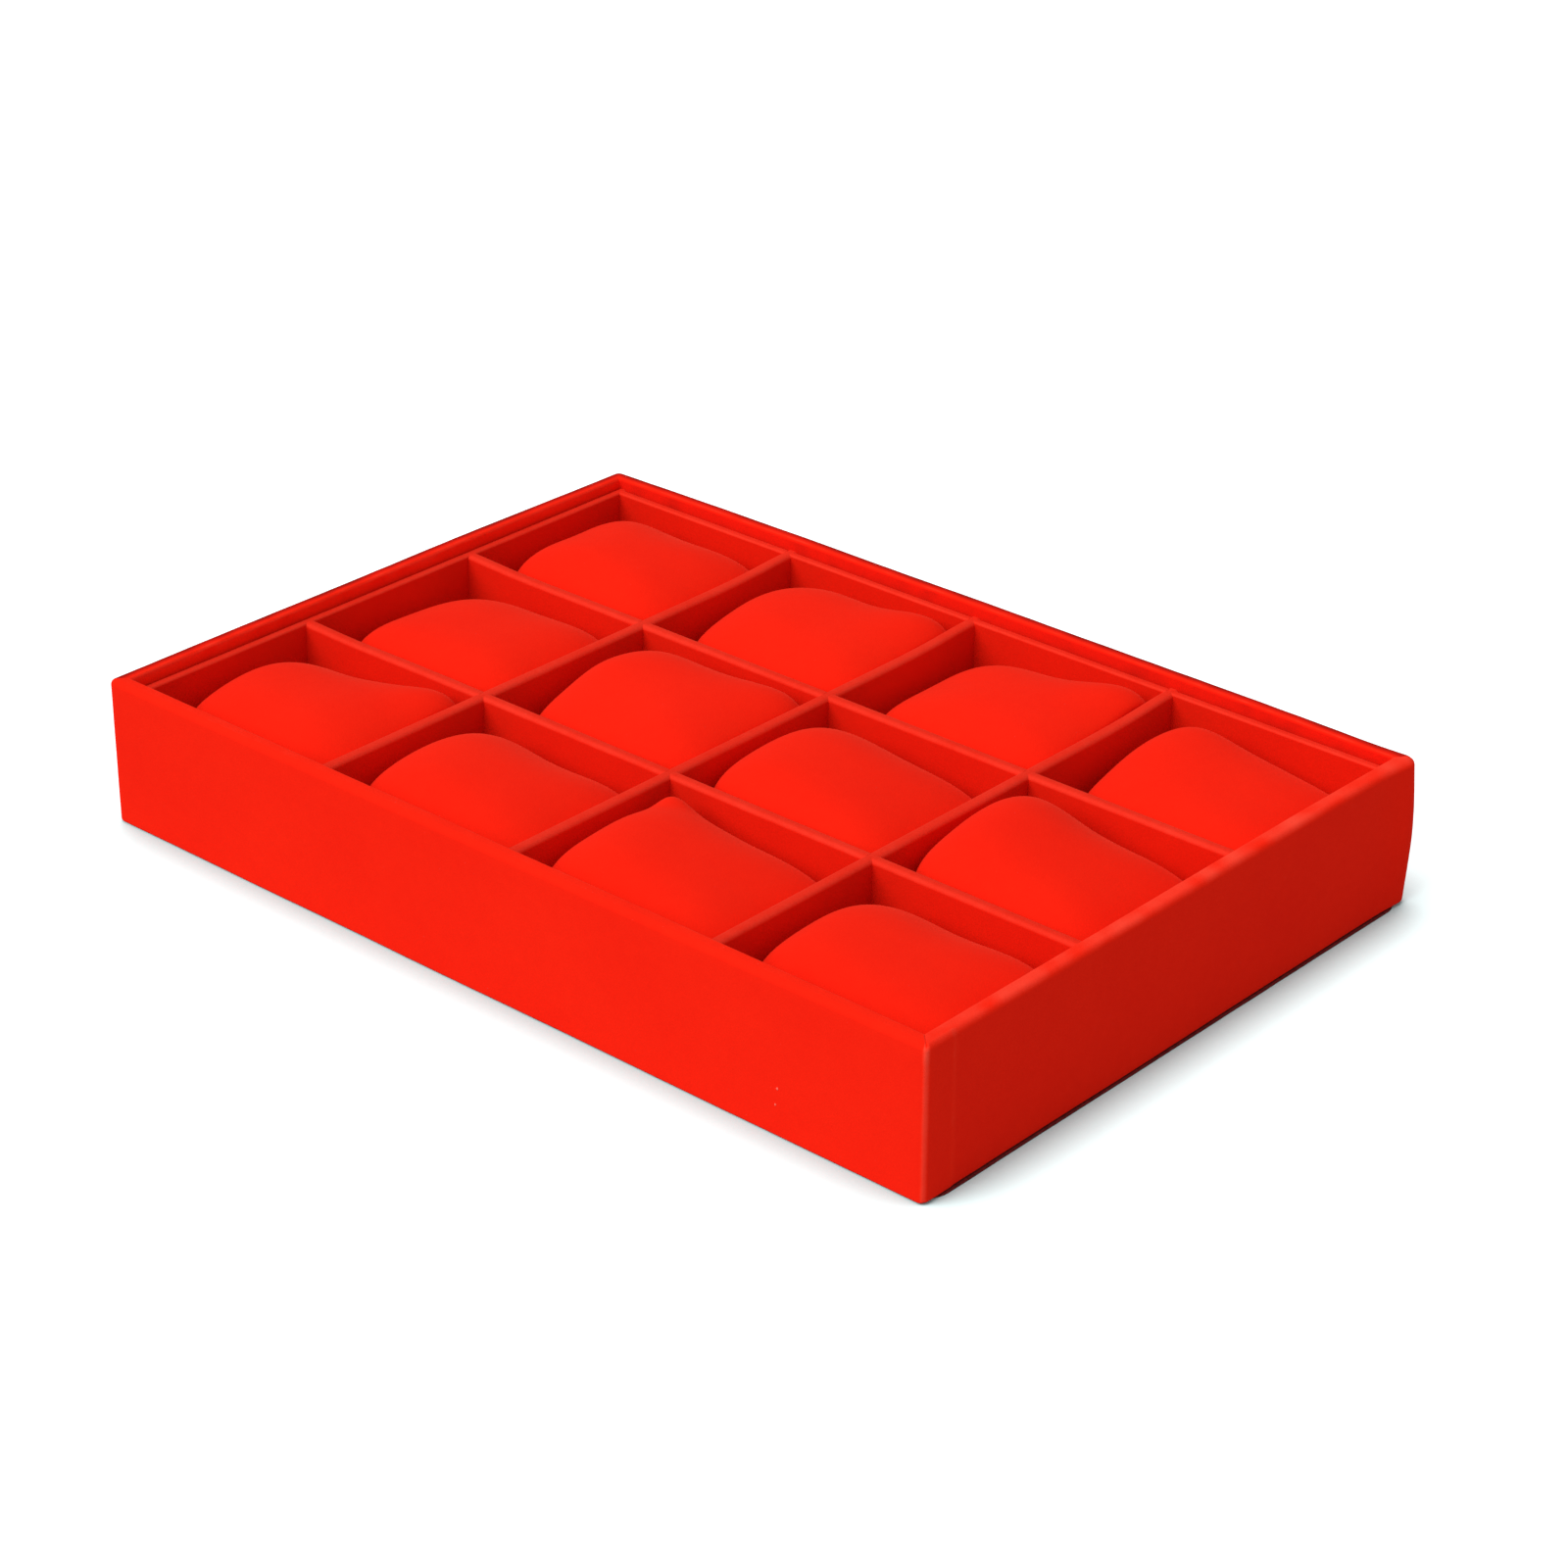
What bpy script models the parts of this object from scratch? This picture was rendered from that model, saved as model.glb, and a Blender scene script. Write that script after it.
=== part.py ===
"""Watch display tray: a velvet-covered box with a slotted grid and a pillow in each cell.

Metres, with +Z up. The long side runs along X, and the front wall is on the -Y side.
The tray stands on Z = 0 with its middle over the origin.
"""
import math
from collections import namedtuple

import bmesh
import bpy
from mathutils import Vector

# Outside of the tray
TRAY_LENGTH = 0.350
TRAY_WIDTH = 0.242
TRAY_HEIGHT = 0.0525

# Cells of the grid
COLUMNS = 4
ROWS = 3

# Thickness of each sheet and board
BOTTOM_SHEET = 0.0008
FLOOR_BOARD = 0.0030
WALL_BOARD = 0.0036
VELVET = 0.0007
FLOOR_LINING = 0.0015
LINER = 0.0030
DIVIDER = 0.0044

# Gap between pieces that touch on the real tray
FIT = 0.0003

# Rounding of the wall boards, which the velvet follows
BOARD_CORNER_RADIUS = 0.0012
BOARD_TOP_RADIUS = 0.0006
BOARD_BOTTOM_RADIUS = 0.0003

# Velvet turned in under the floor, and how far the sheet over it stays inside the outline
TURN_IN = 0.0120
SHEET_MARGIN = 0.0020

# Grid: the space between the liners and the walls, and how far its tops lie below the rim
GRID_GAP = 0.0006
GRID_DROP = 0.0058

# Rounding of the strips' top edges, which stays under half of their thickness
LINER_TOP_RADIUS = 0.0012
DIVIDER_TOP_RADIUS = 0.0018

# Pillows: the free space round one in its cell, how far it rises above the strips, and its own
# rounding
PILLOW_GAP_LEFT = 0.0047
PILLOW_GAP_RIGHT = 0.0008
PILLOW_GAP_FRONT = 0.0008
PILLOW_GAP_BACK = 0.0022
PILLOW_CROWN_RISE = 0.0030
PILLOW_CORNER_RADIUS = 0.0120
PILLOW_FOOT_INSET = 0.0050
PILLOW_BELLY_HEIGHT = 0.0160
PILLOW_FULLNESS = 2.7

# Fineness of round stretches
CORNER_STEPS = 4
EDGE_STEPS = 3
PILLOW_FOOT_STEPS = 3
PILLOW_CROWN_STEPS = 8

# Levels and insets that follow from the sizes above
SKIN = VELVET + FIT
VELVET_UNDERSIDE = BOTTOM_SHEET + FIT
BOARD_BOTTOM = VELVET_UNDERSIDE + SKIN
BOARD_TOP = TRAY_HEIGHT - SKIN
FLOOR_TOP = BOARD_BOTTOM + FLOOR_BOARD
LINING_BOTTOM = FLOOR_TOP + FIT
LINING_TOP = LINING_BOTTOM + FLOOR_LINING
STRIP_BOTTOM = LINING_TOP + FIT
STRIP_TOP = TRAY_HEIGHT - GRID_DROP
STRIP_MIDDLE = (STRIP_BOTTOM + STRIP_TOP) / 2
WALL = SKIN + WALL_BOARD + SKIN

# Half sizes of the grid between the walls
GRID_HALF_LENGTH = TRAY_LENGTH / 2 - WALL - GRID_GAP
GRID_HALF_WIDTH = TRAY_WIDTH / 2 - WALL - GRID_GAP

# Colours and roughness of the materials
RED_VELVET = ((0.84, 0.022, 0.010), 0.85)
FIBREBOARD = ((0.42, 0.28, 0.16), 0.80)
DARK_SHEET = ((0.060, 0.008, 0.008), 0.90)


# One strip of the grid: its middle lies at place, on the axis that it crosses
Strip = namedtuple("Strip", "name place thickness top_radius")


def part_cells(half_size, cells, first_liner, divider, last_liner):
    """Strips that part a length into equal cells, with a liner at each end."""
    cell = (2 * half_size - 2 * LINER - (cells - 1) * DIVIDER) / cells
    liner_place = half_size - LINER / 2
    strips = [Strip(first_liner, -liner_place, LINER, LINER_TOP_RADIUS)]
    for i in range(1, cells):
        place = -half_size + LINER + i * (cell + DIVIDER) - DIVIDER / 2
        strips.append(Strip(f"{divider}_{i}", place, DIVIDER, DIVIDER_TOP_RADIUS))
    strips.append(Strip(last_liner, liner_place, LINER, LINER_TOP_RADIUS))
    return strips


# Strips across the tray from left to right, and along it from front to back
ACROSS = part_cells(GRID_HALF_LENGTH, COLUMNS, "liner_left", "cross_divider", "liner_right")
ALONG = part_cells(GRID_HALF_WIDTH, ROWS, "liner_front", "long_divider", "liner_back")


def ring(half_x, half_y, radius, z):
    """Points of a rounded rectangle about the origin, anticlockwise from above."""
    points = []
    for corner, (side_x, side_y) in enumerate(((1, 1), (-1, 1), (-1, -1), (1, -1))):
        for step in range(CORNER_STEPS + 1):
            angle = math.radians(90 * (corner + step / CORNER_STEPS))
            x = side_x * (half_x - radius) + radius * math.cos(angle)
            y = side_y * (half_y - radius) + radius * math.sin(angle)
            points.append(Vector((x, y, z)))
    return points


def arc(centre, radius, start, end):
    """Points of a round stretch between two angles in degrees."""
    points = []
    for step in range(EDGE_STEPS + 1):
        angle = math.radians(start + (end - start) * step / EDGE_STEPS)
        across = centre[0] + radius * math.cos(angle)
        height = centre[1] + radius * math.sin(angle)
        points.append((across, height))
    return points


def add_object(name, bm, finish):
    """Turns a bmesh into a named object with a material of its own."""
    bmesh.ops.recalc_face_normals(bm, faces=bm.faces)
    mesh = bpy.data.meshes.new(name)
    bm.to_mesh(mesh)
    bm.free()
    colour, roughness = finish
    material = bpy.data.materials.new(name)
    material.use_nodes = True
    shader = material.node_tree.nodes["Principled BSDF"]
    shader.inputs["Base Color"].default_value = (*colour, 1)
    shader.inputs["Roughness"].default_value = roughness
    mesh.materials.append(material)
    piece = bpy.data.objects.new(name, mesh)
    bpy.context.scene.collection.objects.link(piece)
    return piece


def box(low, high):
    """A plain box between two corners."""
    bm = bmesh.new()
    bmesh.ops.create_cube(bm, size=1)
    size = Vector(high) - Vector(low)
    bmesh.ops.scale(bm, vec=size, verts=bm.verts)
    bmesh.ops.translate(bm, vec=(Vector(high) + Vector(low)) / 2, verts=bm.verts)
    return bm


def round_edges(bm, radius, wanted):
    """Rounds each edge whose two ends both pass the test."""
    edges = [edge for edge in bm.edges if wanted(edge.verts[0].co, edge.verts[1].co)]
    bmesh.ops.bevel(bm, geom=edges, offset=radius, segments=EDGE_STEPS, profile=0.5,
                    affect="EDGES")


def skin_rings(bm, rings, around):
    """Joins each ring to the next with faces, and closes the ends or the whole way around."""
    loops = [[bm.verts.new(point) for point in points] for points in rings]
    pairs = list(zip(loops, loops[1:]))
    if around:
        pairs.append((loops[-1], loops[0]))
    else:
        bm.faces.new(loops[0])
        bm.faces.new(loops[-1])
    for first, second in pairs:
        for i, vert in enumerate(first):
            j = (i + 1) % len(first)
            bm.faces.new((vert, first[j], second[j], second[i]))


def near(a, b):
    """Whether two coordinates are the same, apart from rounding errors."""
    return abs(a - b) < 1e-7


def long_wall_board(name, turn):
    """Front wall as wide as the tray, with its outer corners rounded. Turned for the back."""
    outer = -(TRAY_WIDTH / 2 - SKIN)
    inner = outer + WALL_BOARD
    end = TRAY_LENGTH / 2 - SKIN
    bm = box((-end, outer, BOARD_BOTTOM), (end, inner, BOARD_TOP))
    round_edges(bm, BOARD_CORNER_RADIUS,
                lambda a, b: near(a.x, b.x) and near(a.y, outer) and near(b.y, outer))
    round_edges(bm, BOARD_TOP_RADIUS,
                lambda a, b: near(a.z, BOARD_TOP) and near(b.z, BOARD_TOP))
    round_edges(bm, BOARD_BOTTOM_RADIUS,
                lambda a, b: near(a.z, BOARD_BOTTOM) and near(b.z, BOARD_BOTTOM)
                and not (near(a.y, inner) and near(b.y, inner)))
    piece = add_object(name, bm, FIBREBOARD)
    piece.rotation_euler.z = turn


def short_wall_board(name, turn):
    """Right wall between the front and back boards. Turned for the left."""
    outer = TRAY_LENGTH / 2 - SKIN
    inner = outer - WALL_BOARD
    end = TRAY_WIDTH / 2 - SKIN - WALL_BOARD - FIT
    bm = box((inner, -end, BOARD_BOTTOM), (outer, end, BOARD_TOP))
    round_edges(bm, BOARD_TOP_RADIUS,
                lambda a, b: near(a.z, BOARD_TOP) and near(b.z, BOARD_TOP) and near(a.x, b.x))
    round_edges(bm, BOARD_BOTTOM_RADIUS,
                lambda a, b: near(a.z, BOARD_BOTTOM) and near(b.z, BOARD_BOTTOM)
                and near(a.x, outer) and near(b.x, outer))
    piece = add_object(name, bm, FIBREBOARD)
    piece.rotation_euler.z = turn


def floor_board():
    """Hardboard floor between the four walls."""
    half_x = TRAY_LENGTH / 2 - SKIN - WALL_BOARD - FIT
    half_y = TRAY_WIDTH / 2 - SKIN - WALL_BOARD - FIT
    bm = box((-half_x, -half_y, BOARD_BOTTOM), (half_x, half_y, FLOOR_TOP))
    add_object("floor_board", bm, FIBREBOARD)


def floor_lining():
    """Velvet-covered card that lies on the floor inside the velvet of the walls."""
    half_x = TRAY_LENGTH / 2 - WALL - FIT
    half_y = TRAY_WIDTH / 2 - WALL - FIT
    bm = box((-half_x, -half_y, LINING_BOTTOM), (half_x, half_y, LINING_TOP))
    add_object("floor_lining", bm, RED_VELVET)


def bottom_sheet():
    """Dark sheet glued over the turned-in velvet. The tray stands on it."""
    half_x = TRAY_LENGTH / 2 - SHEET_MARGIN
    half_y = TRAY_WIDTH / 2 - SHEET_MARGIN
    bm = box((-half_x, -half_y, 0), (half_x, half_y, BOTTOM_SHEET))
    add_object("bottom_sheet", bm, DARK_SHEET)


def cover_profile():
    """Section of the velvet skin, as distance in from the outside and height."""
    rim = BOARD_TOP_RADIUS + SKIN
    foot = BOARD_BOTTOM_RADIUS + SKIN
    rim_height = TRAY_HEIGHT - rim
    foot_height = VELVET_UNDERSIDE + foot
    profile = [(TURN_IN, VELVET_UNDERSIDE)]
    profile += arc((foot, foot_height), foot, 270, 180)
    profile += arc((rim, rim_height), rim, 180, 90)
    profile += arc((WALL - rim, rim_height), rim, 90, 0)
    profile += [(WALL, LINING_BOTTOM), (WALL - VELVET, LINING_BOTTOM)]
    profile += arc((WALL - rim, rim_height), rim - VELVET, 0, 90)
    profile += arc((rim, rim_height), rim - VELVET, 90, 180)
    profile += arc((foot, foot_height), foot - VELVET, 180, 270)
    profile += [(TURN_IN, VELVET_UNDERSIDE + VELVET)]
    return profile


def velvet_cover():
    """One skin over all four walls, from under the floor up and over the rim."""
    corner = BOARD_CORNER_RADIUS + SKIN
    rings = []
    for inset, height in cover_profile():
        radius = max(corner - inset, FIT)
        rings.append(ring(TRAY_LENGTH / 2 - inset, TRAY_WIDTH / 2 - inset, radius, height))
    bm = bmesh.new()
    skin_rings(bm, rings, around=True)
    add_object("velvet_cover", bm, RED_VELVET)


def slotted_edge(crossings, half_size, level, slot_level):
    """A strip's edge from end to end, stepping to the slot's level at each crossing strip."""
    points = []
    for crossing in crossings:
        half_slot = crossing.thickness / 2 + FIT
        low = max(crossing.place - half_slot, -half_size)
        high = min(crossing.place + half_slot, half_size)
        points += [(low, level), (low, slot_level), (high, slot_level), (high, level)]
    return points[1:-1]


def grid_strip(strip, half_size, crossings, slots_from_top):
    """One strip along X with half-height slots and rounded top edges."""
    if slots_from_top:
        top = slotted_edge(crossings, half_size, STRIP_TOP, STRIP_MIDDLE - FIT / 2)
        bottom = [(-half_size, STRIP_BOTTOM), (half_size, STRIP_BOTTOM)]
    else:
        top = [(-half_size, STRIP_TOP), (half_size, STRIP_TOP)]
        bottom = slotted_edge(crossings, half_size, STRIP_BOTTOM, STRIP_MIDDLE + FIT / 2)
    bm = bmesh.new()
    near_side = -strip.thickness / 2
    face = bm.faces.new([bm.verts.new((x, near_side, z)) for x, z in bottom + top[::-1]])
    extruded = bmesh.ops.extrude_face_region(bm, geom=[face])["geom"]
    moved = [item for item in extruded if isinstance(item, bmesh.types.BMVert)]
    bmesh.ops.translate(bm, vec=(0, strip.thickness, 0), verts=moved)
    round_edges(bm, strip.top_radius,
                lambda a, b: near(a.z, STRIP_TOP) and near(b.z, STRIP_TOP)
                and near(a.y, b.y))
    return add_object(strip.name, bm, RED_VELVET)


def grid():
    """Strips across the tray run unbroken on top, and those along it are cut there."""
    for strip in ACROSS:
        piece = grid_strip(strip, GRID_HALF_WIDTH, ALONG, slots_from_top=False)
        piece.rotation_euler.z = math.radians(90)
        piece.location.x = strip.place
    for strip in ALONG:
        piece = grid_strip(strip, GRID_HALF_LENGTH, ACROSS, slots_from_top=True)
        piece.location.y = strip.place


def pillow(name, low, high):
    """Stuffed pillow between two corners: a flat foot, a round belly and a crowned top."""
    half_x = (high.x - low.x) / 2
    half_y = (high.y - low.y) / 2
    rings = []
    for step in range(PILLOW_FOOT_STEPS):
        angle = math.radians(90 * step / PILLOW_FOOT_STEPS)
        inset = PILLOW_FOOT_INSET * (1 - math.sin(angle))
        height = PILLOW_BELLY_HEIGHT * (1 - math.cos(angle))
        rings.append(ring(half_x - inset, half_y - inset, PILLOW_CORNER_RADIUS - inset, height))
    rise = high.z - low.z - PILLOW_BELLY_HEIGHT
    for step in range(PILLOW_CROWN_STEPS):
        angle = math.radians(90 * step / PILLOW_CROWN_STEPS)
        share = math.cos(angle) ** (2 / PILLOW_FULLNESS)
        height = PILLOW_BELLY_HEIGHT + rise * math.sin(angle) ** (2 / PILLOW_FULLNESS)
        rings.append(ring(half_x * share, half_y * share, PILLOW_CORNER_RADIUS * share, height))
    bm = bmesh.new()
    skin_rings(bm, rings, around=False)
    piece = add_object(name, bm, RED_VELVET)
    piece.location = ((low.x + high.x) / 2, (low.y + high.y) / 2, low.z)


def row_names():
    """Front, back and, between them, middle, with a number where there are more."""
    middle = ["middle"] if ROWS == 3 else [f"middle_{j}" for j in range(1, ROWS - 1)]
    return ["front"] + middle + ["back"]


def pillows():
    """One pillow in each cell, numbered from the left in each row."""
    for row, front, back in zip(row_names(), ALONG, ALONG[1:]):
        for i, (left, right) in enumerate(zip(ACROSS, ACROSS[1:]), start=1):
            low = Vector((left.place + left.thickness / 2 + PILLOW_GAP_LEFT,
                          front.place + front.thickness / 2 + PILLOW_GAP_FRONT,
                          LINING_TOP + FIT))
            high = Vector((right.place - right.thickness / 2 - PILLOW_GAP_RIGHT,
                           back.place - back.thickness / 2 - PILLOW_GAP_BACK,
                           STRIP_TOP + PILLOW_CROWN_RISE))
            pillow(f"pillow_{row}_{i}", low, high)


for old in list(bpy.data.objects):
    bpy.data.objects.remove(old)

bottom_sheet()
floor_board()
long_wall_board("front_wall_board", 0)
long_wall_board("back_wall_board", math.pi)
short_wall_board("right_wall_board", 0)
short_wall_board("left_wall_board", math.pi)
velvet_cover()
floor_lining()
grid()
pillows()
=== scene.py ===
import math
from collections import namedtuple

import bmesh
import bpy
import numpy as np
from mathutils import Matrix, Vector, noise


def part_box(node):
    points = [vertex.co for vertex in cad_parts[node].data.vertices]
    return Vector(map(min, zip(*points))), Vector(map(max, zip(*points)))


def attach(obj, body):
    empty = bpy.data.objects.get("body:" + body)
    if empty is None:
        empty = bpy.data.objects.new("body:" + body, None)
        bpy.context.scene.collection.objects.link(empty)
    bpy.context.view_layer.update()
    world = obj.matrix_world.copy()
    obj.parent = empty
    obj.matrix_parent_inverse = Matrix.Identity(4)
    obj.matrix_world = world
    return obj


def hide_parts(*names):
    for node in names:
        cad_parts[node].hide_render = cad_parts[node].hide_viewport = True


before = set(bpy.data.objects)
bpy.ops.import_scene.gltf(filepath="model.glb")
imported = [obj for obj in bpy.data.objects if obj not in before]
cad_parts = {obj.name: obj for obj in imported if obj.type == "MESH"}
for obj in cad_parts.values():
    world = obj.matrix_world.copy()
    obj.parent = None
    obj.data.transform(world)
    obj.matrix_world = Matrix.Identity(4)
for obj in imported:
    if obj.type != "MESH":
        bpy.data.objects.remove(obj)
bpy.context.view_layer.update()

scene = bpy.context.scene


# Bottom sheet
# Thin maroon felt paper, glued flat under the tray over the turned-in edges of the velvet.
# On the right it reaches past the wall, so that its dark edge shows there as painted shade: a
# dark line under the right wall that stands for the shade under its foot.
FELT_DEEP = (0.10, 0.012, 0.012, 1)
FELT_LIGHT = (0.20, 0.022, 0.022, 1)
FELT_FIBRE = 900

# On the right the sheet reaches past the wall, so that its dark edge stands as painted shade
# under the right wall
SHEET_THICKNESS = 0.0005
SHEET_INSET = 0.0023
SHEET_SHADE_REACH_RIGHT = 0.0006
SHEET_CORNER = 0.0080
SHEET_WAVER = 0.00012
SHEET_WAVER_SCALE = 60
SHEET_STEP = 0.0040
CORNER_STEPS = 8


def add_node(tree, kind, inputs=None, **settings):
    """Adds a node to a tree, with its settings, and its inputs by name as values or links."""
    made = tree.nodes.new(kind)
    for name, value in settings.items():
        setattr(made, name, value)
    for name, value in (inputs or {}).items():
        if isinstance(value, bpy.types.NodeSocket):
            tree.links.new(value, made.inputs[name])
        else:
            made.inputs[name].default_value = value
    return made


def new_finish(name, **values):
    """A material, its node tree and its shader, with constant values on the shader's sockets."""
    material = bpy.data.materials.new(name)
    material.use_nodes = True
    tree = material.node_tree
    shader = tree.nodes["Principled BSDF"]
    for socket, value in values.items():
        shader.inputs[socket.replace("_", " ")].default_value = value
    return material, tree, shader


def noise_of(tree, place, scale, detail=2.0, roughness=0.5):
    """Noise on object coordinates, with its scale in cycles per metre."""
    inputs = {"Vector": place, "Scale": scale, "Detail": detail, "Roughness": roughness}
    return add_node(tree, "ShaderNodeTexNoise", inputs).outputs["Fac"]


def ramp(tree, value, stops):
    """Colour ramp with its stops given as place and colour."""
    made = add_node(tree, "ShaderNodeValToRGB", {"Fac": value})
    elements = made.color_ramp.elements
    while len(elements) < len(stops):
        elements.new(0.5)
    for element, (place, colour) in zip(elements, stops):
        element.position = place
        element.color = colour
    return made.outputs["Color"]


def dress_solid(name, material):
    """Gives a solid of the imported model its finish."""
    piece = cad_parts[name]
    if not piece.material_slots:
        piece.data.materials.append(material)
    for slot in piece.material_slots:
        slot.material = material


def add_piece(name, bm, material):
    """Turns a bmesh into a smooth named piece with one finish."""
    mesh = bpy.data.meshes.new(name)
    bm.to_mesh(mesh)
    bm.free()
    mesh.materials.append(material)
    mesh.shade_smooth()
    piece = bpy.data.objects.new(name, mesh)
    scene.collection.objects.link(piece)
    return piece


def plan_round(low, high, radii, side_places):
    """Points round a box seen from above, each with its outward way.

    They go anticlockwise from the front right: a round corner, then the side that follows it,
    with its points at the given shares of the side's length.
    """
    spots = ((high.x, low.y), (high.x, high.y), (low.x, high.y), (low.x, low.y))
    corners = []
    for corner, (x, y) in enumerate(spots):
        inwards = Vector((1 if x == low.x else -1, 1 if y == low.y else -1))
        centre = Vector((x, y)) + radii[corner] * inwards
        angles = [90 * (corner - 1 + step / CORNER_STEPS) for step in range(CORNER_STEPS + 1)]
        ways = [Vector((math.cos(math.radians(angle)), math.sin(math.radians(angle))))
                for angle in angles]
        corners.append([(centre + radii[corner] * way, way) for way in ways])
    points = []
    for corner, turn in enumerate(corners):
        start, way = turn[-1]
        end = corners[(corner + 1) % 4][0][0]
        points += turn + [(start.lerp(end, share), way) for share in side_places[corner % 2]]
    return points


def even_places(length):
    """Evenly spread shares of a side's length, without its ends."""
    count = round(length / SHEET_STEP)
    return [i / count for i in range(1, count)]


def cut_sheet(low, high):
    """A thin slab with round corners, cut with scissors, so its edges waver a little."""
    size = high - low
    places = (even_places(size.y), even_places(size.x))
    bm = bmesh.new()
    loops = []
    for z in (low.z, high.z):
        loop = []
        for point, way in plan_round(low, high, (SHEET_CORNER,) * 4, places):
            waver = SHEET_WAVER * noise.noise((point * SHEET_WAVER_SCALE).to_3d())
            loop.append(bm.verts.new((point + waver * way).to_3d() + Vector((0, 0, z))))
        loops.append(loop)
        bm.faces.new(loop)
    for i, vert in enumerate(loops[0]):
        j = (i + 1) % len(loops[0])
        bm.faces.new((vert, loops[0][j], loops[1][j], loops[1][i]))
    bmesh.ops.recalc_face_normals(bm, faces=bm.faces)
    return bm


felt, tree, shader = new_finish("maroon_felt", Roughness=0.95, Specular_IOR_Level=0.1)
place = add_node(tree, "ShaderNodeTexCoord").outputs["Object"]
fibres = noise_of(tree, place, FELT_FIBRE, detail=4)
tree.links.new(ramp(tree, fibres, [(0.35, FELT_DEEP), (0.70, FELT_LIGHT)]),
               shader.inputs["Base Color"])
bump = add_node(tree, "ShaderNodeBump", {"Height": fibres, "Distance": 0.0002, "Strength": 0.6})
tree.links.new(bump.outputs["Normal"], shader.inputs["Normal"])
sheet_low, sheet_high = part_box("bottom_sheet")
cover_low, cover_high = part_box("velvet_cover")
sheet_low.xy = cover_low.xy + Vector((SHEET_INSET, SHEET_INSET))
# On the right the sheet reaches past the wall, as painted shade under the right wall
sheet_high.xy = cover_high.xy + Vector((SHEET_SHADE_REACH_RIGHT, -SHEET_INSET))
sheet_high.z = sheet_low.z + SHEET_THICKNESS
sheet = add_piece("felt_sheet", cut_sheet(sheet_low, sheet_high), felt)
sheet.data.shade_flat()
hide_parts("bottom_sheet")
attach(sheet, "root")


# Wall boards and floor board
# Raw fibreboard cut to size and glued at the corners. The velvet, the floor lining and the
# bottom sheet hide all of it.
BOARD_DEEP = (0.30, 0.18, 0.09, 1)
BOARD_LIGHT = (0.55, 0.38, 0.22, 1)
BOARD_FIBRE = 350
BOARD_STRETCH = (1.0, 1.0, 6.0)

fibreboard, tree, shader = new_finish("raw_fibreboard", Roughness=0.8, Specular_IOR_Level=0.2)
place = add_node(tree, "ShaderNodeTexCoord").outputs["Object"]
stretched = add_node(tree, "ShaderNodeMapping", {"Vector": place, "Scale": BOARD_STRETCH})
fibres = noise_of(tree, stretched.outputs["Vector"], BOARD_FIBRE, detail=5, roughness=0.65)
tree.links.new(ramp(tree, fibres, [(0.30, BOARD_DEEP), (0.72, BOARD_LIGHT)]),
               shader.inputs["Base Color"])
bump = add_node(tree, "ShaderNodeBump", {"Height": fibres, "Distance": 0.0002, "Strength": 0.5})
tree.links.new(bump.outputs["Normal"], shader.inputs["Normal"])
for name in ("floor_board", "front_wall_board", "back_wall_board", "left_wall_board",
             "right_wall_board"):
    dress_solid(name, fibreboard)


# Velvet cover
# One piece of red flocked velvet, glued round the walls: turned in under the floor, up the
# outside, over the rim and down the inside. Its ends meet and lap at the front right corner.
CLEARANCE = 0.0003
VELVET = 0.0007
RIM_RADIUS = 0.0021
RIM_INNER_RADIUS = 0.0010
FOOT_RADIUS = 0.0010
TURN_IN = 0.0120
RIM_STEPS = 8
RIM_TOP_STEP = 0.0008
WALL_STEP = 0.0025
SIDE_STEP = 0.0025
NEAR_CORNER = 0.0160
NEAR_CORNER_STEP = 0.0010

# Outer corners, from the front right one anticlockwise, and the least radius inside
CORNER_RADII = (0.0024, 0.0042, 0.0030, 0.0024)
INNER_CORNER_RADIUS = 0.0006

# Slow waves of the glued cloth and the lie of its pile
WAVE = 0.00016
WAVE_SCALE = 19
RIPPLE = 0.00005
RIPPLE_SCALE = 110

# The foot hangs lower than it was cut, least on the right. The rim sags at the back corners,
# and the cloth is slack and bulges at the back right one.
FOOT_HANG = 0.0010
HANG_RIGHT = 0.5
HANG_REACH = 0.0120
RIM_SAG = 0.0006
SAG_REACH = 0.0400
SAG_DEPTH = 0.0200
BULGE = 0.0024
BULGE_HEIGHT = 0.0280
BULGE_REACH_UP = 0.0280
BULGE_REACH_DOWN = 0.0260
BULGE_REACH_ALONG = 0.0110

# Lap at the front right corner: the fold on the edge itself, the doubled strip beside it, the
# mitre on the rim and the knot of cloth at the top of the fold
FOLD_HEIGHT = 0.00030
FOLD_WIDTH = 0.0012
LAP_WIDTH = 0.0125
LAP_HEIGHT = 0.00018
LAP_EDGE = 0.0009
MITRE_DEPTH = 0.00035
KNOT_HEIGHT = 0.00035
KNOT_REACH = 0.0080

# The pile's streaks on the rim, and how far down the inside the painted shade deepens
STREAK_SCALE = 130
RIM_SHADE_REACH = 0.0060

# How the nap value lies, from -1 dark to 1 pale. At the lap, fold, knot and mitre it is the
# pile's own lie, crushed or opened. The rest is painted light: painted sheen on the rims,
# lighter and pinker on the right and front ones and streaked; painted shade where the foot turns
# under the tray; and on the left and back rims painted shade at the outer edge, a painted
# highlight at the top of the inside, painted shade further down it, and an extra darkening of
# the back wall's inside
RIM_SHEEN = 0.05
FOOT_SHADE = -0.55
RIGHT_RIM_SHEEN = 0.30
RIGHT_STREAKS = 0.35
FRONT_RIM_SHEEN = 0.22
FRONT_STREAKS = 0.15
FAR_RIM_SHEEN = 0.12
FAR_EDGE_SHADE = -0.90
FAR_INSIDE_HIGHLIGHT = 0.25
FAR_INSIDE_SHADE = 0.30
BACK_INSIDE_DARK = 0.47
BACK_EASING = 0.20
FAR_STREAKS = 0.20
FAR_SIDE_STREAKS = 0.25
FOLD_NAP = 0.55
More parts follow.
